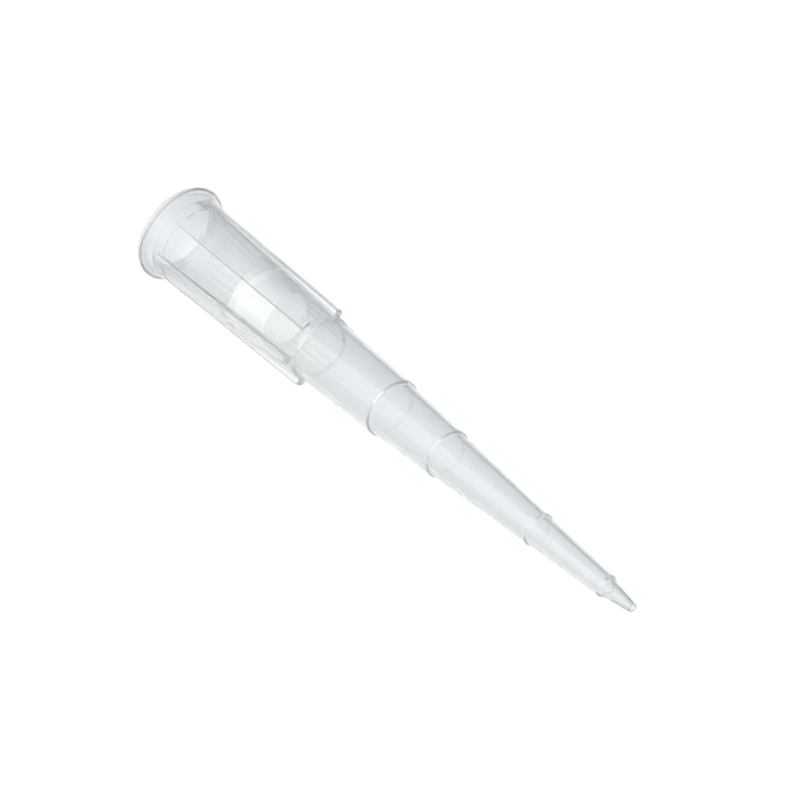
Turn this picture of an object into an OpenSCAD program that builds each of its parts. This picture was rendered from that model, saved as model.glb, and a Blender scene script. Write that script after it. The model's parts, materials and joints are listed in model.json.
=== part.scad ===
// Filter pipette tip, lying on its side as it comes to rest on a bench.
// The tip is one clear moulding with a white porous plug pressed into its socket.
// Both pieces are drawn along an upright axis, with the mouth at height 0 and the
// small end up, and are then laid down as the tip's own weight would lay them.

/* [Overall] */
// Length from the mouth to the small end
tip_length = 55.8; // [52:0.1:68]
// Outside diameter of the rim round the mouth
flange_diameter = 8; // [7:0.1:10]
// Depth of the centre of gravity below the mouth, which settles how the tip lies
balance_depth = 18.4; // [14:0.1:22]

/* [Collar] */
// Thickness of the rim, from the mouth to its underside
flange_height = 0.6; // [0.58:0.01:0.9]
// Radius of the rim's rounded edge on the mouth's side
mouth_edge = 0.42; // [0.1:0.01:0.42]
// Radius of the rim's rounded edge on its underside
flange_edge = 0.16; // [0.05:0.01:0.16]
// How far the rim stands out past the skirt below it
flange_overhang = 0.45; // [0.42:0.01:0.7]
// Radius of the hollow fillet between the rim and the skirt
underside_fillet = 0.18; // [0.05:0.01:0.18]
// Depth of the skirt's lower edge below the mouth
skirt_depth = 1.35; // [1.1:0.01:1.6]
// How much smaller in radius the socket is than the skirt, where it starts
neck_drop = 0.23; // [0.1:0.01:0.3]
// Length of the sloping neck between the skirt and the socket
neck_length = 1.05; // [0.6:0.05:1.4]
// Height of the fine ledge where the neck meets the socket
neck_ledge = 0.06; // [0.02:0.01:0.1]
// Length over which that ledge slopes
neck_ledge_slope = 0.04; // [0.02:0.01:0.1]
// Depth of the sloping lead-in at the mouth
lead_in_depth = 1.1; // [0.6:0.1:1.4]
// Width of the lead-in at the mouth
lead_in_width = 0.3; // [0.1:0.01:0.4]
// Radius of the lip between the mouth and the lead-in
lip_radius = 0.08; // [0.02:0.01:0.1]

/* [Socket] */
// Depth of the shoulder below the mouth, where the ribs stop
socket_length = 17.6; // [14:0.05:21]
// Outside diameter at the shoulder
shoulder_diameter = 5.6; // [5.2:0.01:6.8]
// Radius of the rounded shoulder
shoulder_round = 0.7; // [0.3:0.05:0.8]
// Wall of the socket at the mouth, beside the straight land that grips the pipette
mouth_wall = 0.35; // [0.25:0.01:0.5]
// Length of that straight land
grip_land_length = 1.5; // [1:0.1:3]
// Wall of the socket beside the plug
seat_wall = 0.49; // [0.3:0.01:0.6]
// Wall of the socket at the shoulder
shoulder_wall = 0.6; // [0.4:0.01:0.7]
// Depth below the mouth of the straight land that holds the plug
seat_depth = 8.8; // [7:0.01:10]
// Length of that land
seat_length = 1.85; // [1.2:0.01:2.2]
// Height of the small step at each end of that land
seat_step = 0.05; // [0.02:0.01:0.08]

/* [Ribs] */
// Number of ribs round the socket
rib_count = 6; // [4:2:12]
// Thickness of a rib
rib_thickness = 0.71; // [0.4:0.01:1]
// How far each rib's outer edge stays inside the skirt at the top
rib_recess = 0.07; // [0.02:0.01:0.15]
// How far a rib stands out from the shoulder at its foot
rib_foot_height = 0.54; // [0.3:0.01:0.8]
// Bevel on a rib's outer corner at its foot
rib_bevel = 0.12; // [0.05:0.01:0.25]

/* [Body below the socket] */
// Outside diameters just below the shoulder and just above the first step
stage_1_top = 5.2; // [5:0.01:6.3]
stage_1_bottom = 4.86; // [4.7:0.01:5.9]
// Outside diameters of the second stage
stage_2_top = 4.62; // [4.4:0.01:5.5]
stage_2_bottom = 4.06; // [3.8:0.01:4.9]
// Outside diameters of the third stage
stage_3_top = 3.84; // [3.5:0.01:4.6]
stage_3_bottom = 2.76; // [2.6:0.01:3.4]
// Outside diameters of the fourth stage
stage_4_top = 2.6; // [2.3:0.01:3.1]
stage_4_bottom = 1.88; // [1.7:0.01:2.3]
// Heights of the four steps above the small end
step_1_height = 29.25; // [26:0.05:33]
step_2_height = 22.5; // [20:0.05:25]
step_3_height = 11.4; // [10:0.05:14]
step_4_height = 3.15; // [2.4:0.05:4.4]
// Length of the slope at each of the first three steps
step_slope = 0.1; // [0.05:0.05:1]
// Length of the slope at the last step, down to the small end's cone
nozzle_slope = 0.3; // [0.1:0.05:1]
// Height of the fine bead along each step's upper edge
step_bead = 0.03; // [0:0.01:0.06]
// Length of that bead
bead_length = 0.5; // [0.2:0.1:0.8]
// Walls of the four stages
stage_1_wall = 0.44; // [0.3:0.01:0.6]
stage_2_wall = 0.41; // [0.3:0.01:0.5]
stage_3_wall = 0.37; // [0.25:0.01:0.5]
stage_4_wall = 0.35; // [0.2:0.01:0.4]

/* [Small end] */
// Outside diameter just below the last step
nozzle_top = 1.5; // [1.4:0.01:1.9]
// Outside diameter at the small end
nozzle_end = 0.76; // [0.6:0.01:1]
// Bore at the small end
orifice = 0.48; // [0.3:0.01:0.55]
// Wall just below the last step
nozzle_wall = 0.28; // [0.15:0.01:0.35]

/* [Filter plug] */
// Depth of the plug's upper face below the mouth
plug_depth = 9.8; // [9.2:0.05:12]
// Length of the plug
plug_length = 3.85; // [2.5:0.05:5]
// Length of the wider head that grips the land
plug_head = 0.78; // [0.5:0.01:1]
// How much smaller in radius the plug is below its head
plug_waist = 0.26; // [0.1:0.01:0.4]
// Length of the slope between the head and the rest
plug_slope = 0.35; // [0.2:0.05:0.6]
// How much the plug tapers in radius from below its head to its lower end
plug_taper = 0.1; // [0:0.01:0.2]
// Bevel on the plug's edges
plug_bevel = 0.1; // [0.02:0.01:0.2]
// Clearance between the plug's head and the land
plug_clearance = 0.02; // [0.01:0.01:0.05]

/* [Hidden] */
$fn = 96;
arc_steps = 8; // straight lines in a quarter of a drawn round
through = 1; // how far a cutting shape runs past the face that it cuts
touch = 0.001; // a point this near a line counts as touching it

// Radii and heights on the outside
rim_r = flange_diameter / 2;
skirt_r = rim_r - flange_overhang;
fillet_r = min(underside_fillet, flange_overhang - flange_edge); // no wider than the flat it sits in
neck_end = skirt_depth + neck_length;
socket_top_r = skirt_r - neck_drop;
shoulder_r = shoulder_diameter / 2;

// The outside radius of the socket at a depth below the mouth
function socket_r(depth) =
    socket_top_r + (shoulder_r - socket_top_r) * (depth - neck_end) / (socket_length - neck_end);

// Radii of the bore
grip_r = socket_top_r - mouth_wall;
grip_end = lead_in_depth + grip_land_length;
seat_end = seat_depth + seat_length;
seat_r = socket_r((seat_depth + seat_end) / 2) - seat_wall;
throat_r = shoulder_r - shoulder_wall;

// The four stages: height where each starts and ends, the outside radius there, and the wall
stages = [
    [socket_length + shoulder_round, tip_length - step_1_height,
        stage_1_top / 2, stage_1_bottom / 2, stage_1_wall],
    [tip_length - step_1_height + step_slope, tip_length - step_2_height,
        stage_2_top / 2, stage_2_bottom / 2, stage_2_wall],
    [tip_length - step_2_height + step_slope, tip_length - step_3_height,
        stage_3_top / 2, stage_3_bottom / 2, stage_3_wall],
    [tip_length - step_3_height + step_slope, tip_length - step_4_height,
        stage_4_top / 2, stage_4_bottom / 2, stage_4_wall],
];
nozzle_start = tip_length - step_4_height + nozzle_slope;

// The points of the underside that can touch the bench: the rim, the feet of the two ribs
// beside the bottom, the lower edges of the four stages, and the small end. Each is a depth
// below the mouth and a distance from the axis, as seen from the side.
rib_angle = 360 / rib_count;
rib_foot_r = shoulder_r + rib_foot_height;
contacts = concat(
    [[flange_height - flange_edge, rim_r]],
    [[socket_length - rib_bevel,
        rib_foot_r * cos(rib_angle / 2) + rib_thickness / 2 * sin(rib_angle / 2)]],
    [for (s = stages) [s[1], s[3] + step_bead]],
    [[tip_length, nozzle_end / 2]]
);

// Distance from the axis of the line through contacts p and q, at a depth below the mouth
function bench_line(p, q, depth) = p[1] + (q[1] - p[1]) * (depth - p[0]) / (q[0] - p[0]);

// The tip rests on the two contacts, one each side of the centre of gravity, whose line no
// other contact crosses
rest = [
    for (p = contacts)
        for (q = contacts)
            if (p[0] < balance_depth && q[0] >= balance_depth
                && min([for (c = contacts) bench_line(p, q, c[0]) - c[1]]) > -touch)
                [p, q]
][0];
tilt = atan2(rest[0][1] - rest[1][1], rest[1][0] - rest[0][0]);
lift = rest[0][0] * sin(tilt) + rest[0][1] * cos(tilt);
lowest_x = mouth_edge * cos(tilt) - (rim_r - mouth_edge) * sin(tilt) - mouth_edge;
highest_x = tip_length * cos(tilt) + nozzle_end / 2 * sin(tilt);

// Points along a round stretch, from one angle to another
function arc(centre, radius, from, to) = [
    for (i = [0 : arc_steps])
        let (a = from + (to - from) * i / arc_steps)
        centre + radius * [cos(a), sin(a)]
];

// Outside of one stage, with the fine bead that ends it
function stage_outside(s) = [
    [s[2], s[0]],
    [s[3], s[1] - bead_length],
    [s[3] + step_bead, s[1] - bead_length / 2],
    [s[3] + step_bead, s[1]]
];

// Bore of one stage
function stage_bore(s) = [
    [s[2] - s[4], s[0]],
    [s[3] - s[4], s[1]]
];

module outside_profile() {
    polygon(concat(
        [[0, 0]],
        arc([rim_r - mouth_edge, mouth_edge], mouth_edge, -90, 0),
        arc([rim_r - flange_edge, flange_height - flange_edge], flange_edge, 0, 90),
        arc([skirt_r + fillet_r, flange_height + fillet_r], fillet_r, -90, -180),
        [[skirt_r, skirt_depth], [socket_top_r + neck_ledge, neck_end - neck_ledge_slope]],
        [[socket_top_r, neck_end]],
        arc([shoulder_r - shoulder_round, socket_length], shoulder_round, 0,
            acos(1 - (shoulder_r - stage_1_top / 2) / shoulder_round)),
        [for (s = stages) each stage_outside(s)],
        [[nozzle_top / 2, nozzle_start], [nozzle_end / 2, tip_length], [0, tip_length]]
    ));
}

module bore_profile() {
    polygon(concat(
        [[0, -through], [grip_r + lead_in_width + lip_radius, -through]],
        arc([grip_r + lead_in_width + lip_radius, lip_radius], lip_radius, -90, -180),
        [[grip_r, lead_in_depth], [grip_r, grip_end]],
        [[seat_r + seat_step, seat_depth - seat_step], [seat_r, seat_depth]],
        [[seat_r, seat_end], [seat_r - seat_step, seat_end + seat_step]],
        [[throat_r, socket_length]],
        [for (s = stages) each stage_bore(s)],
        [[nozzle_top / 2 - nozzle_wall, nozzle_start], [orifice / 2, tip_length]],
        [[orifice / 2, tip_length + through], [0, tip_length + through]]
    ));
}

// One rib, standing out along +X. Its inner edge lies in the middle of the socket's wall.
module rib() {
    inner_top = (socket_top_r + grip_r) / 2;
    inner_foot = (shoulder_r + throat_r) / 2;
    top = (flange_height + skirt_depth) / 2;
    rotate([90, 0, 0])
        linear_extrude(height = rib_thickness, center = true)
            polygon([
                [inner_top, top],
                [skirt_r - rib_recess, top],
                [rib_foot_r, socket_length - rib_bevel],
                [rib_foot_r - rib_bevel, socket_length],
                [inner_foot, socket_length]
            ]);
}

module plug_profile() {
    head_r = seat_r - plug_clearance;
    waist_r = head_r - plug_waist;
    end_r = waist_r - plug_taper;
    head_end = plug_depth + plug_head;
    plug_end = plug_depth + plug_length;
    polygon([
        [0, plug_depth],
        [head_r - plug_bevel, plug_depth],
        [head_r, plug_depth + plug_bevel],
        [head_r, head_end],
        [waist_r, head_end + plug_slope],
        [end_r, plug_end - plug_bevel],
        [end_r - plug_bevel, plug_end],
        [0, plug_end]
    ]);
}

// Lays an upright piece down as it rests on the bench, with the mouth towards -X
module lay_down() {
    translate([-(lowest_x + highest_x) / 2, 0, lift])
        rotate([0, 90 + tilt, 0])
            children();
}

module tip_body() {
    color([0.82, 0.86, 0.88])
        lay_down()
            difference() {
                union() {
                    rotate_extrude() outside_profile();
                    for (i = [0 : rib_count - 1])
                        rotate([0, 0, rib_angle * (i + 0.5)]) rib();
                }
                rotate_extrude() bore_profile();
            }
}

module filter_plug() {
    color([0.97, 0.97, 0.98])
        lay_down()
            rotate_extrude() plug_profile();
}

tip_body();
filter_plug();
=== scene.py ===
# %% [markdown]
# # A filter pipette tip
# A pipette tip is a small moulding of clear polypropylene, about 56 mm long. Its wide mouth is
# pushed over the nose of a pipette, and a white porous plug inside keeps liquid out of the
# pipette. This lesson builds both pieces round a imported CAD model, which fixes where
# everything is. First the model is loaded.

import json
import math

import bmesh
import bpy
import numpy as np
from mathutils import Matrix, Vector, noise


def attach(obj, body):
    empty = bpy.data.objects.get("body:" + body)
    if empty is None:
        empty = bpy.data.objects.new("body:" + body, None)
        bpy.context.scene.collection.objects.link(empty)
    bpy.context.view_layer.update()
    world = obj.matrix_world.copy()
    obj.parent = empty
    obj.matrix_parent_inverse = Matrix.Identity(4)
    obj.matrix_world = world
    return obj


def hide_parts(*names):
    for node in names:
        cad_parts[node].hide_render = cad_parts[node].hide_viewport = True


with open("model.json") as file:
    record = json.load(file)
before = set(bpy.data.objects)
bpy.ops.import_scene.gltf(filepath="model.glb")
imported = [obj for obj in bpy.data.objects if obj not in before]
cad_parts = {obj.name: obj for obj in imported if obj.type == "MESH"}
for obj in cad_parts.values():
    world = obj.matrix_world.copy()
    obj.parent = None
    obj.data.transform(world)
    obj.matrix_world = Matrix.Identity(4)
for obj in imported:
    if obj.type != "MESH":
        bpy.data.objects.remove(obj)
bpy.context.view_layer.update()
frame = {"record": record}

# %% [markdown]
# The tip lies tilted, because its wide end holds it up. The record's mounts say where its
# axis runs, so every shape below is drawn in the tip's own terms: depth below the mouth,
# distance from the axis, and how far round. One function turns those into places in the
# shared frame. All sizes are in millimetres until that function makes them metres.

# %% The tip's own axis
MM = 0.001
mounts = {m["name"]: m for m in frame["record"]["mounts"]}
small_end = np.array(mounts["small_end"]["pos_m"])
along = np.array(mounts["small_end"]["axis"])
along /= np.linalg.norm(along)
side = np.array([0.0, 1.0, 0.0])
upward = np.cross(along, side)
tilt = math.asin(-along[2])

tip_length = 55.8


def lay_down(depth, up_mm, side_mm):
    """Places in the shared frame, in metres, of points given along and across the tip."""
    depth, up_mm, side_mm = np.broadcast_arrays(depth, up_mm, side_mm)
    return (
        small_end
        + (depth[..., None] - tip_length) * MM * along
        + up_mm[..., None] * MM * upward
        + side_mm[..., None] * MM * side
    )


print("tilt of the tip:", round(math.degrees(tilt), 3), "degrees")

# %% [markdown]
# ## Camera
# A long lens from far away keeps the proportions of such a small object calm. The camera is
# placed by its direction and distance from a point on the tip, and then rolled a little.

# %% Camera
LENS_MM = 1350
SENSOR_MM = 36
VIEW_AZIMUTH, VIEW_ELEVATION, VIEW_ROLL = (math.radians(a) for a in (49.8746, 33.3845, 3.5011))
VIEW_DISTANCE = 2.25666
aim_point = Vector((-0.001188, 0.000649, 0.003117))

level_right = Vector((math.cos(VIEW_AZIMUTH), math.sin(VIEW_AZIMUTH), 0))
backward = Vector(
    (
        math.sin(VIEW_AZIMUTH) * math.cos(VIEW_ELEVATION),
        -math.cos(VIEW_AZIMUTH) * math.cos(VIEW_ELEVATION),
        math.sin(VIEW_ELEVATION),
    )
)
level_up = backward.cross(level_right)
camera_right = level_right * math.cos(VIEW_ROLL) + level_up * math.sin(VIEW_ROLL)
camera_up = backward.cross(camera_right)

camera_data = bpy.data.cameras.new("camera")
camera_data.lens = LENS_MM
camera_data.sensor_width = SENSOR_MM
camera_data.clip_start = 0.01
camera_data.clip_end = 50
camera = bpy.data.objects.new("camera", camera_data)
camera.matrix_world = Matrix.Translation(aim_point + backward * VIEW_DISTANCE) @ Matrix(
    (camera_right, camera_up, backward)
).transposed().to_4x4()
bpy.context.scene.collection.objects.link(camera)
bpy.context.scene.camera = camera
print("camera at", [round(x, 4) for x in camera.matrix_world.translation])

# %% [markdown]
# ## Drawing an outline
# A moulding has no truly sharp corners. So an outline is given as a few corners, each with
# its own rounding, and one function turns them into points. It also adds a point a little
# way before and after each round. Two rounds that share a short straight piece split it in
# proportion to their radii. The extra points hold the smooth shading of the round inside that
# short stretch, so that the long straight walls stay straight to the eye and bend light
# evenly, which matters in a clear part.

# %% Rounded outline
ROUND_STEPS = 5
HOLD = 0.03  # how far the holding points are from a round
SHARED = 0.98  # how much of a straight piece the rounds at its two ends may use up
SLIGHT_BEND = math.radians(2)  # half of the turn below which a corner needs no round
TINY = 1e-6
NOT_ZERO = 1e-9  # keeps a division from failing


def outline(corners, steps=ROUND_STEPS, hold=HOLD):
    """Points along an open outline of corners (depth, radius, rounding)."""
    points = [np.array(corners[0][:2], float)]
    for before, corner, after in zip(corners, corners[1:], corners[2:]):
        p = np.array(corner[:2], float)
        if corner[2] == 0:
            points.append(p)
            continue
        to_before = np.array(before[:2], float) - p
        to_after = np.array(after[:2], float) - p
        room = SHARED * min(
            np.linalg.norm(to_before) * corner[2] / (corner[2] + before[2]),
            np.linalg.norm(to_after) * corner[2] / (corner[2] + after[2]),
        )
        to_before /= np.linalg.norm(to_before)
        to_after /= np.linalg.norm(to_after)
        half_angle = math.acos(max(-1.0, min(1.0, float(to_before @ to_after)))) / 2
        reach = corner[2] / math.tan(half_angle)
        if reach > room:
            reach = room
        radius = reach * math.tan(half_angle)
        extra = min(hold, room - reach + TINY)
        far_enough = extra > hold / 3
        inward = to_before + to_after
        inward /= max(np.linalg.norm(inward), NOT_ZERO)
        centre = p + inward * radius / max(math.sin(half_angle), NOT_ZERO)
        start = p + to_before * reach
        end = p + to_after * reach
        if far_enough:
            points.append(start + to_before * extra)
        if math.pi / 2 - half_angle < SLIGHT_BEND:
            points.append(p)
        else:
            a, b = start - centre, end - centre
            sweep = math.pi - 2 * half_angle
            for i in range(steps + 1):
                t = i / steps
                mixed = (math.sin((1 - t) * sweep) * a + math.sin(t * sweep) * b) / math.sin(sweep)
                points.append(centre + mixed)
        if far_enough:
            points.append(end + to_after * extra)
    points.append(np.array(corners[-1][:2], float))
    return points


one_round = outline([(0, 0, 0), (0, 1, 0.2), (1, 1, 0)])
print("one rounded corner becomes", len(one_round), "points")

# %% [markdown]
# ## Outside of the moulding
# From the mouth down: a rim, a short skirt under it, a sloping neck with a fine ledge at its
# end, the socket that widens the tip for the pipette, and a rounded shoulder. The sizes are
# those of the CAD part. Small roundings are added to its plain edges.

# %% Rim, neck and socket
rim_r = 4.0
rim_height = 0.6
mouth_edge = 0.42
rim_round = 0.16
underside_round = 0.18
skirt_r = 3.55
skirt_depth = 1.35
neck_end = 2.4
socket_top_r = 3.32
neck_ledge = 0.06
ledge_slope = 0.04
socket_length = 17.6
shoulder_r = 2.8
shoulder_bend, shoulder_end = 0.26, 0.49  # depths below the socket's end
shoulder_drop = 0.05
shoulder_round = 0.3
mouth_r = 3.35  # inner edge of the rim's end face, where the lip starts
lip_round = 0.08
edge_round = 0.03
print("rim:", 2 * rim_r, "mm across, socket:", socket_length, "mm deep")

# %% [markdown]
# Below the socket come four tapering stages and a fine cone. Each stage starts a little
# thinner than the last one ended, where the steel of the mould meets, and a fine bead marks
# that edge.

# %% Stages and small end
step_slope = 0.1
stages = [  # depths where a stage starts and ends, outside radii there, and its wall
    (18.3, 26.55, 2.6, 2.43, 0.44),
    (26.55 + step_slope, 33.3, 2.31, 2.03, 0.41),
    (33.3 + step_slope, 44.4, 1.92, 1.38, 0.37),
    (44.4 + step_slope, 52.65, 1.3, 0.94, 0.35),
]
bead_height = 0.03
bead_length = 0.5
nozzle_start = 52.95
nozzle_top_r, nozzle_end_r = 0.75, 0.38
nozzle_wall = 0.28
orifice_r = 0.24
orifice_edge = 0.02
print("stages:", len(stages), "and an orifice", 2 * orifice_r, "mm across")

# %% Outside outline
outside = [
    (0, mouth_r, 0),
    (0, rim_r, mouth_edge),
    (rim_height, rim_r, rim_round),
    (rim_height, skirt_r, underside_round),
    (skirt_depth, skirt_r, edge_round),
    (neck_end - ledge_slope, socket_top_r + neck_ledge, edge_round),
    (neck_end, socket_top_r, edge_round),
    (socket_length, shoulder_r, shoulder_round),
    (socket_length + shoulder_bend, shoulder_r - shoulder_drop, shoulder_round),
    (socket_length + shoulder_end, stages[0][2], shoulder_round),
]
for start, end, start_r, end_r, wall in stages:
    outside += [
        (start, start_r, edge_round),
        (end - bead_length, end_r, 0),
        (end - bead_length / 2, end_r + bead_height, 0),
        (end, end_r + bead_height, edge_round),
    ]
outside += [
    (nozzle_start, nozzle_top_r, edge_round),
    (tip_length, nozzle_end_r, edge_round),
    (tip_length, orifice_r + orifice_edge, 0),
]
outside_points = outline(outside)
print("outside outline:", len(outside_points), "points")

# %% [markdown]
# ## Bore
# The inside narrows like the outside, but smoothly. Near the mouth a sloping lead-in guides
# the pipette's nose, then a straight land grips it. Further down a second short land, with
# a fine step at each end, holds the filter plug.

# %% Bore outline
grip_r = 2.97
lead_in_depth = 1.1
grip_end = 2.6
seat_depth, seat_end = 8.8, 10.65
seat_r = 2.579
seat_step = 0.05
seat_round = 0.01
throat_r = 2.2

bore = [
    (0, mouth_r, 0),
    (0, mouth_r - lip_round, lip_round),
    (lead_in_depth, grip_r, edge_round),
    (grip_end, grip_r, edge_round),
    (seat_depth - seat_step, seat_r + seat_step, seat_round),
    (seat_depth, seat_r, seat_round),
    (seat_end, seat_r, seat_round),
    (seat_end + seat_step, seat_r - seat_step, seat_round),
    (socket_length, throat_r, edge_round),
]
for start, end, start_r, end_r, wall in stages:
    bore += [(start, start_r - wall, edge_round), (end, end_r - wall, edge_round)]
bore += [
    (nozzle_start, nozzle_top_r - nozzle_wall, edge_round),
    (tip_length, orifice_r, orifice_edge),
    (tip_length, orifice_r + orifice_edge, 0),
]
bore_points = outline(bore)
print("bore outline:", len(bore_points), "points")

# %% [markdown]
# ## Ribs
# Six ribs stiffen the socket. They are part of the moulding, so they aren't added as loose
# blocks: in clear plastic every buried face would show. Instead each ring of the wall is
# drawn as one closed line that goes out round each rib and back, with rounded outer edges
# and a small fillet at each root. Rings above and below the ribs have the same number of
# points on a plain circle, so that the rings join into one watertight skin.

# %% Rib sizes
RIB_COUNT = 6
rib_half = 0.355
rib_recess = 0.07
rib_foot_height = 0.54
rib_bevel = 0.12
rib_top_depth = (rim_height + skirt_depth) / 2
rib_foot_depth = socket_length - rib_bevel
rib_corner = 0.1
rib_root = 0.1


def rib_radius(depth):
    """Distance from the axis to a rib's outer face."""
    top, foot = skirt_r - rib_recess, shoulder_r + rib_foot_height
    return top + (foot - top) * (depth - rib_top_depth) / (rib_foot_depth - rib_top_depth)


print("a rib's face is", round(rib_radius(rib_foot_depth), 3), "mm from the axis at its foot")

# %% [markdown]
# Six ribs, each the same on its two sides, split a ring into twelve equal pieces. So only one
# of them is drawn: from the middle of a rib's face, round its corner, down its side, round
# its root and along the wall to the middle of the gap.

# %% A twelfth of a ring
CORNER_STEPS = 3
PLAIN_STEPS = 7
LEAST_HEIGHT = 0.004
CORNER_SHARE, ROOT_SHARE, HOLD_SHARE = 0.35, 0.4, 0.1  # most of a low rib's height they take
FACE_POINT = 0.55  # place of an extra point between the middle and the corner of a rib's face


def half_sector(base_r, top_r, half=rib_half):
    """Points (outward, sideways) from a rib's middle to the middle of the gap beside it."""
    height = max(top_r - math.sqrt(base_r**2 - half**2), LEAST_HEIGHT)
    corner = min(rib_corner, CORNER_SHARE * height)
    root = min(rib_root, ROOT_SHARE * height)
    hold = min(HOLD, HOLD_SHARE * height)
    centre_x = math.sqrt((base_r + root) ** 2 - (half + root) ** 2)
    swing = math.atan2(half + root, centre_x)
    points = [
        (top_r, 0),
        (top_r, FACE_POINT * (half - corner)),
        (top_r, half - corner - hold),
    ]
    for i in range(CORNER_STEPS + 1):
        a = math.pi / 2 * i / CORNER_STEPS
        points.append(
            (top_r - corner + corner * math.cos(a), half - corner + corner * math.sin(a))
        )
    points += [(top_r - corner - hold, half), (centre_x + hold, half)]
    for i in range(CORNER_STEPS + 1):
        a = -math.pi / 2 - (math.pi / 2 - swing) * i / CORNER_STEPS
        points.append((centre_x + root * math.cos(a), half + root + root * math.sin(a)))
    gap_end = math.pi / RIB_COUNT
    hold_angle = swing + HOLD / base_r
    for i in range(PLAIN_STEPS + 1):
        a = hold_angle + (gap_end - hold_angle) * (i / PLAIN_STEPS)
        points.append((base_r * math.cos(a), base_r * math.sin(a)))
    return np.array(points)


usual_r, usual_rib_r = 3.2, 3.4
print("points in a twelfth:", len(half_sector(usual_r, usual_rib_r)))

# %% [markdown]
# A mirrored copy makes a sixth, and six turned copies of that make the ring. Off the ribs a
# ring is a plain circle, with its points at the angles that they have by a usual rib.

# %% A whole ring
plain_angles = np.arctan2(*half_sector(usual_r, usual_rib_r).T[::-1])


def ring(base_r, top_r=None, half=rib_half):
    """A closed ring of points (upward, sideways) round the axis. top_r is None off the ribs."""
    if top_r is None:
        part = base_r * np.stack([np.cos(plain_angles), np.sin(plain_angles)], 1)
    else:
        part = half_sector(base_r, top_r, half)
        out = np.linalg.norm(part, axis=1)
        part *= np.maximum(1, base_r / out)[:, None]
    mirrored = part[1:-1][::-1] * (1, -1)
    sector = np.concatenate([mirrored, part])
    rows = []
    for i in range(RIB_COUNT):
        turn = 2 * math.pi * (i + 0.5) / RIB_COUNT
        c, s = math.cos(turn), math.sin(turn)
        rows.append(sector @ np.array([[c, s], [-s, c]]))
    return np.concatenate(rows)


print("points in a ring:", len(ring(usual_r)))

# %% [markdown]
# The rings are now stacked. Between the neck and the shoulder the outside rings carry the
# ribs, and near a rib's foot the rings shrink over a short bevel and a rounded edge, so that
# the foot ends in a flat face as it does on the real part.

# %% Where the rings are
FOOT_EDGE = 0.03  # rounding at the end of a rib's foot
above_edge = 0.02  # the wall's radii are read from this far above the skirt's edge
rib_start = 0.1  # the first ring with ribs is this far below the skirt's edge
NECK_PITCH = 0.05
past_neck = 0.3  # the close rings of the neck go on this far below it
SOCKET_RINGS = 12
socket_rings_from, socket_rings_to = 0.5, 0.04  # below the neck's end and above the foot
clear_of_foot = 0.05


def radius_at(points, depth):
    """Radius of the outline at a depth, where the outline only goes downward."""
    table = np.array(points)
    return float(np.interp(depth, table[:, 0], table[:, 1]))


print("wall radius 10 mm down:", round(radius_at(outside_points, 10), 3), "mm")

# %% [markdown]
# The close rings of the neck carry the start of each rib over the sloping wall. The rings at
# the foot follow its bevel and then a quarter circle, which is the rounded edge.

# %% Stacking the rings
def outside_rings():
    """(depth, wall radius, rib radius, half of a rib's width) of each ring, mouth first."""
    wall = [p for p in outside_points if p[0] >= skirt_depth - above_edge]
    first_rib = skirt_depth + rib_start
    extra = list(np.arange(first_rib, neck_end + past_neck, NECK_PITCH))
    extra += list(
        np.linspace(
            neck_end + socket_rings_from, rib_foot_depth - socket_rings_to, SOCKET_RINGS
        )
    )
    extra += [rib_foot_depth, socket_length - FOOT_EDGE, socket_length - FOOT_EDGE / 2]
    depths = {round(float(d), 5) for d in extra}
    rings = []
    for p in outside_points:
        if p[0] < first_rib or p[0] > socket_length:
            rings.append((float(p[0]), float(p[1]), None, rib_half))
        elif p[0] < socket_length - rib_bevel - clear_of_foot:
            depths.add(round(float(p[0]), 5))
    for d in sorted(depths):
        bevel = max(d - rib_foot_depth, 0)
        inset = 0.0
        if d > socket_length - FOOT_EDGE - TINY:
            t = (d - (socket_length - FOOT_EDGE)) / FOOT_EDGE
            inset = FOOT_EDGE * (1 - math.sqrt(1 - t * t))
        top = rib_radius(min(d, rib_foot_depth)) - bevel - inset
        rings.append((d, radius_at(wall, d), top, rib_half - inset))
    foot_top = rib_radius(rib_foot_depth) - rib_bevel - FOOT_EDGE
    wall_r = radius_at(wall, socket_length)
    rings.append((socket_length, wall_r, foot_top, rib_half - FOOT_EDGE))
    above = [r for r in rings if r[0] <= first_rib - TINY]
    below = [r for r in rings if r[0] > first_rib - TINY]
    return above + sorted(below, key=lambda r: r[0])


stack = outside_rings()
print("outside rings:", len(stack))

# %% [markdown]
# One skin goes down the outside and back up the bore, so the mesh is a closed wall with a
# real thickness. Light then bends at both faces, as it does in the moulding.

# %% From rings to a mesh
def band_faces(bands, ring_count, count):
    """Quads between each of the first rings and the next. The last ring leads to the first."""
    faces = []
    for i in range(bands):
        a, b = i * count, ((i + 1) % ring_count) * count
        for j in range(count):
            k = (j + 1) % count
            faces.append((a + j, b + j, b + k, a + k))
    return faces


def finished_piece(name, places, faces):
    """An object with a smooth mesh whose faces all look outward."""
    mesh = bpy.data.meshes.new(name)
    mesh.from_pydata(places.tolist(), [], faces)
    bm = bmesh.new()
    bm.from_mesh(mesh)
    bmesh.ops.recalc_face_normals(bm, faces=bm.faces)
    if bm.calc_volume(signed=True) < 0:
        bmesh.ops.reverse_faces(bm, faces=bm.faces)
    print(name + ":", len(bm.faces), "faces,", round(bm.calc_volume() / MM**3, 2), "cubic mm")
    print("open edges:", sum(not e.is_manifold for e in bm.edges))
    print("smallest face:", min(f.calc_area() for f in bm.faces) / MM**2, "square mm")
    bm.to_mesh(mesh)
    bm.free()
    mesh.shade_smooth()
    piece = bpy.data.objects.new(name, mesh)
    bpy.context.scene.collection.objects.link(piece)
    return piece


# %% [markdown]
# The outside and the bore meet in one point of the outline at the mouth, and in another at
# the orifice. Each of these rings is used once, so the wall closes on itself.

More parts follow.
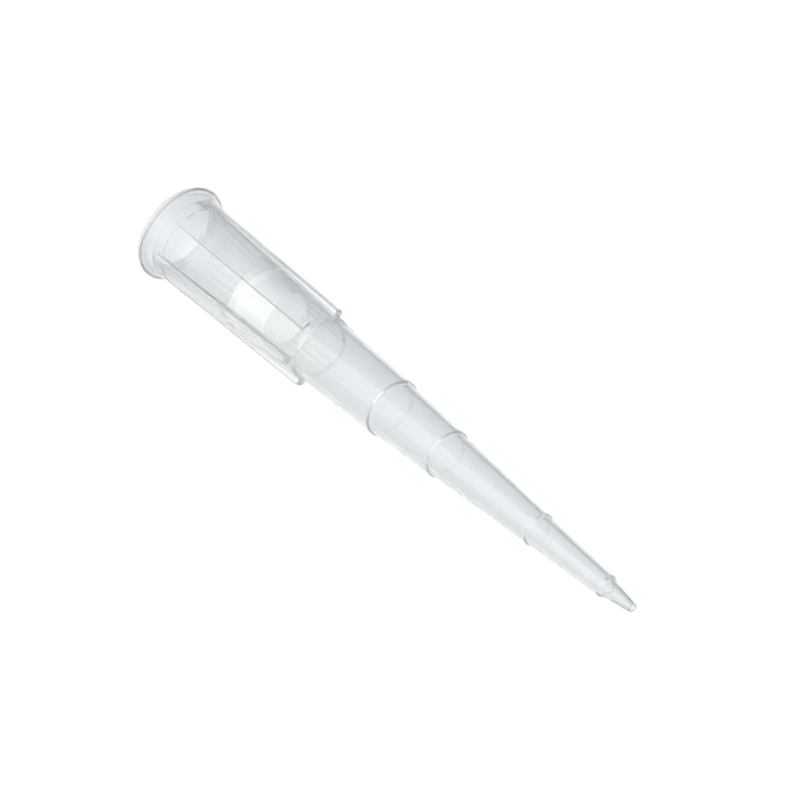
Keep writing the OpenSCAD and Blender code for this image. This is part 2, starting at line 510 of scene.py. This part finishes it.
# %% The clear moulding
depths, rings = [], []
for d, base_r, top_r, half in stack[1:]:
    depths.append(d)
    rings.append(ring(base_r, top_r, half))
for p in bore_points[::-1][1:]:
    depths.append(float(p[0]))
    rings.append(ring(float(p[1])))
body_places = np.concatenate([lay_down(d, r[:, 0], r[:, 1]) for d, r in zip(depths, rings)])
body_faces = band_faces(len(rings), len(rings), len(rings[0]))
tip_body = finished_piece("clear_tip_body", body_places, body_faces)

# %% [markdown]
# ## Filter plug
# The plug is polyethylene grains fused together. It is white and dull, with a fine grain. It
# is turned like the CAD solid, and then every point is moved in a little by a fine noise, so
# that the grain is in the shape itself.

# %% Plug outline
plug_depth, plug_length = 9.8, 3.85
plug_head, plug_slope = 0.78, 0.35
plug_gap = 0.02
plug_r = seat_r - plug_gap
plug_waist_r = plug_r - 0.26
plug_end_r = plug_waist_r - 0.1
plug_centre_r = 0.05  # each end face closes with a small flat in its middle
plug_round, head_round, waist_round = 0.12, 0.15, 0.2
PLUG_PITCH = 0.075

plug_outline = outline(
    [
        (plug_depth, plug_centre_r, 0),
        (plug_depth, plug_r, plug_round),
        (plug_depth + plug_head, plug_r, head_round),
        (plug_depth + plug_head + plug_slope, plug_waist_r, waist_round),
        (plug_depth + plug_length, plug_end_r, plug_round),
        (plug_depth + plug_length, plug_centre_r, 0),
    ],
    hold=0,
)


def spaced(points, pitch):
    """The same line with points about pitch apart."""
    out = [points[0]]
    for a, b in zip(points, points[1:]):
        steps = max(1, round(float(np.linalg.norm(b - a)) / pitch))
        out += [a + (b - a) * i / steps for i in range(1, steps + 1)]
    return out


plug_points = np.array(spaced(plug_outline, PLUG_PITCH))
print("plug outline:", len(plug_points), "points")

# %% [markdown]
# The outline is turned into rings, and each point then sinks towards the plug's middle by a
# little noise. Two layers of noise, one finer than the other, look more like fused grains.
# Points only move inward, so the plug never touches its land.

# %% The porous plug
PLUG_COLUMNS = 220
GRAIN_DEPTH = 0.014
GRAIN_SIZE = 0.11
FINER, FINER_SHARE, FINER_SHIFT = 2.3, 0.5, 7


def grain(spot):
    """Roughness at a spot, from a coarse noise and a finer one."""
    spot = spot / GRAIN_SIZE
    fine = noise.noise(Vector(spot * FINER + FINER_SHIFT))
    return noise.noise(Vector(spot)) + FINER_SHARE * fine


turns = np.linspace(0, 2 * math.pi, PLUG_COLUMNS, endpoint=False)
plug_depths = np.repeat(plug_points[:, 0], PLUG_COLUMNS)
plug_radii = np.repeat(plug_points[:, 1], PLUG_COLUMNS)
plug_turns = np.tile(turns, len(plug_points))
spots = np.stack(
    [plug_depths, plug_radii * np.cos(plug_turns), plug_radii * np.sin(plug_turns)], 1
)
middle = np.array([plug_depth + plug_length / 2, 0, 0])
rough = np.array([grain(spot) for spot in spots])
sink = GRAIN_DEPTH * np.clip(0.5 + 0.5 * rough, 0, 1)
inward = middle - spots
inward /= np.linalg.norm(inward, axis=1)[:, None]
spots += inward * sink[:, None]
plug_places = lay_down(spots[:, 0], spots[:, 1], spots[:, 2])
plug_faces = band_faces(len(plug_points) - 1, len(plug_points), PLUG_COLUMNS)
plug_faces.append(tuple(range(PLUG_COLUMNS)))
plug_faces.append(tuple(range(len(spots) - PLUG_COLUMNS, len(spots))))
filter_plug = finished_piece("porous_plug", plug_places, plug_faces)

# %% [markdown]
# ## Materials
# A material is a small graph of nodes. Two helpers keep the graphs short: one makes a new
# material, and the other adds a node with its settings and the values of its sockets. A value
# that is the same all over goes on the shader's own socket, because an export keeps it there.

# %% Helpers for materials
def new_material(name):
    """A material with its nodes, its links and its Principled shader."""
    material = bpy.data.materials.new(name)
    material.use_nodes = True
    nodes = material.node_tree.nodes
    return material, nodes, material.node_tree.links, nodes["Principled BSDF"]


def add(nodes, kind, sockets=None, **settings):
    """A new node. The settings come first, since they decide which sockets it has."""
    node = nodes.new("ShaderNode" + kind)
    for name, value in settings.items():
        setattr(node, name, value)
    for name, value in (sockets or {}).items():
        node.inputs[name].default_value = value
    return node


# %% [markdown]
# ## Clear polypropylene
# Polypropylene is clear, with a faint blue-grey cast and a little milkiness from the tiny
# crystals in it. A volume shader could give both, but it is slow and doesn't travel to other
# programs. Here the cast is the base colour of a see-through Principled shader, which light
# takes on at each face that it crosses. The milkiness is the diffuse share that is left when
# Transmission Weight is below 1. How much of each was found by trying.

# %% Clear and a little milky
HAZE = 0.18
BENDING = 1.49
polypropylene, nodes, links, plastic = new_material("clear_polypropylene")
plastic.inputs["IOR"].default_value = BENDING
plastic.inputs["Transmission Weight"].default_value = 1 - HAZE
print("share of the plastic's light that is clear:", round(1 - HAZE, 2))

# %% [markdown]
# The surface copies the polish of the steel mould, with very faint lines along the flow of
# the plastic. A noise that is stretched lengthwise makes both the polish and the cast vary.

# %% Flow lines
FLOW_SCALE = (40, 2500, 2500)
FLOW_DETAIL = 3
POLISH_FINE = 0.04
POLISH_DULL = 0.1
where = add(nodes, "TexCoord")
flow_scale = add(nodes, "Mapping", {"Rotation": (0, -tilt, 0), "Scale": FLOW_SCALE})
flow = add(nodes, "TexNoise", {"Scale": 1, "Detail": FLOW_DETAIL})
polish = add(nodes, "MapRange", {"To Min": POLISH_FINE, "To Max": POLISH_DULL})
links.new(where.outputs["Object"], flow_scale.inputs["Vector"])
links.new(flow_scale.outputs["Vector"], flow.inputs["Vector"])
links.new(flow.outputs["Fac"], polish.inputs["Value"])
links.new(polish.outputs["Result"], plastic.inputs["Roughness"])
print("roughness from", POLISH_FINE, "to", POLISH_DULL)

# %% [markdown]
# The mouth of a real tip looks a little greyer than the rest. Here that is a deeper cast,
# judged and not worked out from the wall. The distance along the tip, a dot product
# with its axis, fades it out on the way down the neck and the start of the socket.

# %% Cast
TINT_THIN = (0.762, 0.779, 0.785)
TINT_FULL = (0.782, 0.799, 0.805)
RIM_TINT = (0.695, 0.71, 0.725)
RIM_FROM, RIM_TO = 3.0, 5.2  # depths, in mm, where the mouth's cast starts to fade and ends
mouth_at = float(small_end @ along) - tip_length * MM
tint = add(nodes, "Mix", {"A": (*TINT_THIN, 1), "B": (*TINT_FULL, 1)}, data_type="RGBA")
down_tip = add(nodes, "VectorMath", {1: along}, operation="DOT_PRODUCT")
past_rim = add(
    nodes,
    "MapRange",
    {"From Min": mouth_at + RIM_FROM * MM, "From Max": mouth_at + RIM_TO * MM},
)
cast = add(nodes, "Mix", {"A": (*RIM_TINT, 1)}, data_type="RGBA")
links.new(flow.outputs["Fac"], tint.inputs["Factor"])
links.new(where.outputs["Object"], down_tip.inputs[0])
links.new(down_tip.outputs["Value"], past_rim.inputs["Value"])
links.new(tint.outputs["Result"], cast.inputs["B"])
links.new(past_rim.outputs["Result"], cast.inputs["Factor"])
links.new(cast.outputs["Result"], plastic.inputs["Base Color"])
print("the mouth's cast ends", RIM_TO, "mm down")

# %% [markdown]
# Cycles finds it hard to trace light from a lamp through a clear wall to what is behind it.
# So for shadow rays only, the wall is a window that takes almost nothing. The plug inside the
# socket then gets its light, and of the two pieces only the plug throws a clear shadow.

# %% What lamps see of the wall
SHADOW_TINT = 0.99
window = add(nodes, "BsdfTransparent", {"Color": (SHADOW_TINT, SHADOW_TINT, SHADOW_TINT, 1)})
ray = add(nodes, "LightPath")
either = add(nodes, "MixShader")
links.new(ray.outputs["Is Shadow Ray"], either.inputs["Fac"])
links.new(plastic.outputs["BSDF"], either.inputs[1])
links.new(window.outputs["BSDF"], either.inputs[2])
links.new(either.outputs["Shader"], nodes["Material Output"].inputs["Surface"])
tip_body.data.materials.append(polypropylene)
print("polypropylene:", len(nodes), "nodes")

# %% [markdown]
# ## Porous polyethylene
# The plug is made of grains fused by heat, with air between them. It scatters nearly all the
# light, so it looks white and dull. A Voronoi texture with cells of about a seventh of a
# millimetre stands for the grains. It shades each one slightly from its middle outward, and a
# bump lets the finest grain catch the light, on top of the grain that is in the shape.

# %% Plug material
PLUG_LIGHT = (1.0, 0.99, 0.992, 1)
PLUG_DARK = (0.96, 0.945, 0.95, 1)
PLUG_ROUGHNESS = 0.85
PLUG_BENDING = 1.45
GRAINS_PER_METRE = 7000
BUMP_STRENGTH = 0.4
BUMP_HEIGHT = 0.00002
porous, nodes, links, white = new_material("porous_polyethylene")
white.inputs["Roughness"].default_value = PLUG_ROUGHNESS
white.inputs["IOR"].default_value = PLUG_BENDING
where = add(nodes, "TexCoord")
grains = add(nodes, "TexVoronoi", {"Scale": GRAINS_PER_METRE})
shade = add(nodes, "Mix", {"A": PLUG_LIGHT, "B": PLUG_DARK}, data_type="RGBA")
bump = add(nodes, "Bump", {"Strength": BUMP_STRENGTH, "Distance": BUMP_HEIGHT})
links.new(where.outputs["Object"], grains.inputs["Vector"])
links.new(grains.outputs["Distance"], shade.inputs["Factor"])
links.new(shade.outputs["Result"], white.inputs["Base Color"])
links.new(grains.outputs["Distance"], bump.inputs["Height"])
links.new(bump.outputs["Normal"], white.inputs["Normal"])
filter_plug.data.materials.append(porous)
print("grain cells of about", round(1000 / GRAINS_PER_METRE, 3), "mm")

# %% [markdown]
# ## Floor
# Clear things show what is behind them, so the floor matters as much as the tip. It is a
# large disc of matt white paper. It could be lit until it is white, but that much light would
# bleach the tip too. Instead it glows a little, and only for rays from the camera and for
# rays that come off the plastic or through it. Diffuse rays don't see the glow, so it lights
# nothing by itself, and the floor keeps what shadow there is.

# %% Floor
FLOOR_R = 6.0
FLOOR_SIDES = 96
floor_mesh = bpy.data.meshes.new("floor")
bm = bmesh.new()
bmesh.ops.create_circle(bm, cap_ends=True, radius=FLOOR_R, segments=FLOOR_SIDES)
bm.to_mesh(floor_mesh)
bm.free()
floor = bpy.data.objects.new("floor", floor_mesh)
bpy.context.scene.collection.objects.link(floor)
print("floor:", 2 * FLOOR_R, "m across")

# %% White paper
FLOOR_COLOUR = 0.6
FLOOR_SHOWN = 0.53
paper, nodes, links, matt = new_material("white_paper")
matt.inputs["Base Color"].default_value = (FLOOR_COLOUR, FLOOR_COLOUR, FLOOR_COLOUR, 1)
matt.inputs["Roughness"].default_value = 1
matt.inputs["Specular IOR Level"].default_value = 0
matt.inputs["Emission Color"].default_value = (1, 1, 1, 1)
path = add(nodes, "LightPath")
seen = path.outputs["Is Camera Ray"]
for kind in ("Is Glossy Ray", "Is Transmission Ray"):
    either = add(nodes, "Math", operation="MAXIMUM")
    links.new(seen, either.inputs[0])
    links.new(path.outputs[kind], either.inputs[1])
    seen = either.outputs[0]
level = add(nodes, "Math", {1: FLOOR_SHOWN}, operation="MULTIPLY")
links.new(seen, level.inputs[0])
links.new(level.outputs[0], matt.inputs["Emission Strength"])
floor.data.materials.append(paper)
print("paper:", FLOOR_COLOUR, "of the light comes back, and a glow of", FLOOR_SHOWN)

# %% [markdown]
# ## Light all round
# A clear thing shows itself by what it bends and mirrors, so the whole sky counts. Here it is
# a plain pale grey, a little dimmer overhead: a colour ramp over how high a direction points.
# The side behind the tip is dimmer and cooler, as a room behind a lit table is. It gives the
# upper edges of the moulding their blue-grey lines. A dot product of the level direction with
# that side says how much to dim.

# %% Sky
SKY = [(0.0, 0.8), (0.35, 0.75), (0.62, 0.65), (0.85, 0.6), (1.0, 0.55)]  # height, glow
world = bpy.data.worlds.new("studio")
world.use_nodes = True
bpy.context.scene.world = world
nodes, links = world.node_tree.nodes, world.node_tree.links
where = add(nodes, "TexCoord")
split = add(nodes, "SeparateXYZ")
ramp = add(nodes, "ValToRGB")
while len(ramp.color_ramp.elements) < len(SKY):
    ramp.color_ramp.elements.new(0.5)
for stop, (height, glow) in zip(ramp.color_ramp.elements, SKY):
    stop.position = height
    stop.color = (glow, glow, glow, 1)
links.new(where.outputs["Generated"], split.inputs[0])
links.new(split.outputs["Z"], ramp.inputs["Fac"])
print("sky:", len(SKY), "steps from", SKY[0][1], "to", SKY[-1][1])

# %% The dimmer side
DIM_SIDE = (-0.707, 0.707, 0)
DIM_FROM, DIM_TO = 0.5, 0.95
DIM_COLOUR = (0.65, 0.7, 0.78, 1)
level_only = add(nodes, "VectorMath", {1: (1, 1, 0)}, operation="MULTIPLY")
unit = add(nodes, "VectorMath", operation="NORMALIZE")
toward = add(nodes, "VectorMath", {1: DIM_SIDE}, operation="DOT_PRODUCT")
fade = add(
    nodes,
    "MapRange",
    {"From Min": DIM_FROM, "From Max": DIM_TO},
    interpolation_type="SMOOTHSTEP",
)
dim = add(nodes, "Mix", {"A": (1, 1, 1, 1), "B": DIM_COLOUR}, data_type="RGBA")
sky = add(nodes, "Mix", {"Factor": 1}, data_type="RGBA", blend_type="MULTIPLY")
links.new(where.outputs["Generated"], level_only.inputs[0])
links.new(level_only.outputs[0], unit.inputs[0])
links.new(unit.outputs[0], toward.inputs[0])
links.new(toward.outputs["Value"], fade.inputs["Value"])
links.new(fade.outputs["Result"], dim.inputs["Factor"])
links.new(ramp.outputs["Color"], sky.inputs["A"])
links.new(dim.outputs["Result"], sky.inputs["B"])
links.new(sky.outputs["Result"], nodes["Background"].inputs["Color"])
nodes["Background"].inputs["Strength"].default_value = 1.0
print("dimmed side:", DIM_SIDE, "to", DIM_COLOUR[:3])

# %% [markdown]
# ## Lamps
# Two wide, soft lamps do the rest. The softbox on the left lights the floor and gives the round
# walls a calm sheen. The fill is low, on the camera's side, and lights the plug through the
# clear wall. Its light meets the walls so that they mirror it away from the camera. The
# strength is given as how bright a lamp's face looks, so a lamp can be made wider without
# making it harsher. The fill was turned down until hardly any of the white plug burned out.
# Neither lamp can be seen by the camera.

# %% Lamps
def lamp(name, azimuth, elevation, distance, width, height, radiance):
    """An area lamp that faces the tip. radiance is how bright it looks."""
    data = bpy.data.lights.new(name, "AREA")
    data.shape = "RECTANGLE"
    data.size, data.size_y = width, height
    data.energy = radiance * width * height * math.pi
    a, e = math.radians(azimuth), math.radians(elevation)
    direction = Vector((math.sin(a) * math.cos(e), -math.cos(a) * math.cos(e), math.sin(e)))
    obj = bpy.data.objects.new(name, data)
    obj.location = direction * distance
    obj.visible_camera = False
    obj.rotation_euler = direction.to_track_quat("Z", "Y").to_euler()
    bpy.context.scene.collection.objects.link(obj)
    print(name + ":", round(data.energy, 2), "W")
    return obj


lamp("softbox", azimuth=-45, elevation=26, distance=0.9, width=1.8, height=0.86, radiance=1.0)
lamp("fill", azimuth=50, elevation=24, distance=1.4, width=2.4, height=1.1, radiance=2.0)

# %% [markdown]
# ## How far light is followed
# Light inside a clear wall turns many times before it leaves. Each mirror turn counts as a
# glossy bounce, and with the usual limit of four the paths stop short and leave black lines
# along the ribs and steps. With a limit of 32 nearly none of them do. Caustics stay on, since
# the plug gets part of its light bent through the wall.

# %% Light paths
BOUNCES = 32
TRANSPARENT_BOUNCES = 64
cycles = bpy.context.scene.cycles
cycles.max_bounces = BOUNCES
cycles.transmission_bounces = BOUNCES
cycles.glossy_bounces = BOUNCES
cycles.diffuse_bounces = BOUNCES
cycles.transparent_max_bounces = TRANSPARENT_BOUNCES
cycles.caustics_refractive = True
cycles.caustics_reflective = True
print("light is followed for", BOUNCES, "bounces")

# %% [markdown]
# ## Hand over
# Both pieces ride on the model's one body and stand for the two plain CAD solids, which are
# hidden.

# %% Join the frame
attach(tip_body, "root")
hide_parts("tip_body")
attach(filter_plug, "root")
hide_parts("filter_plug")
bpy.context.scene.view_settings.view_transform = "Standard"
print("handed over:", tip_body.name, "and", filter_plug.name)
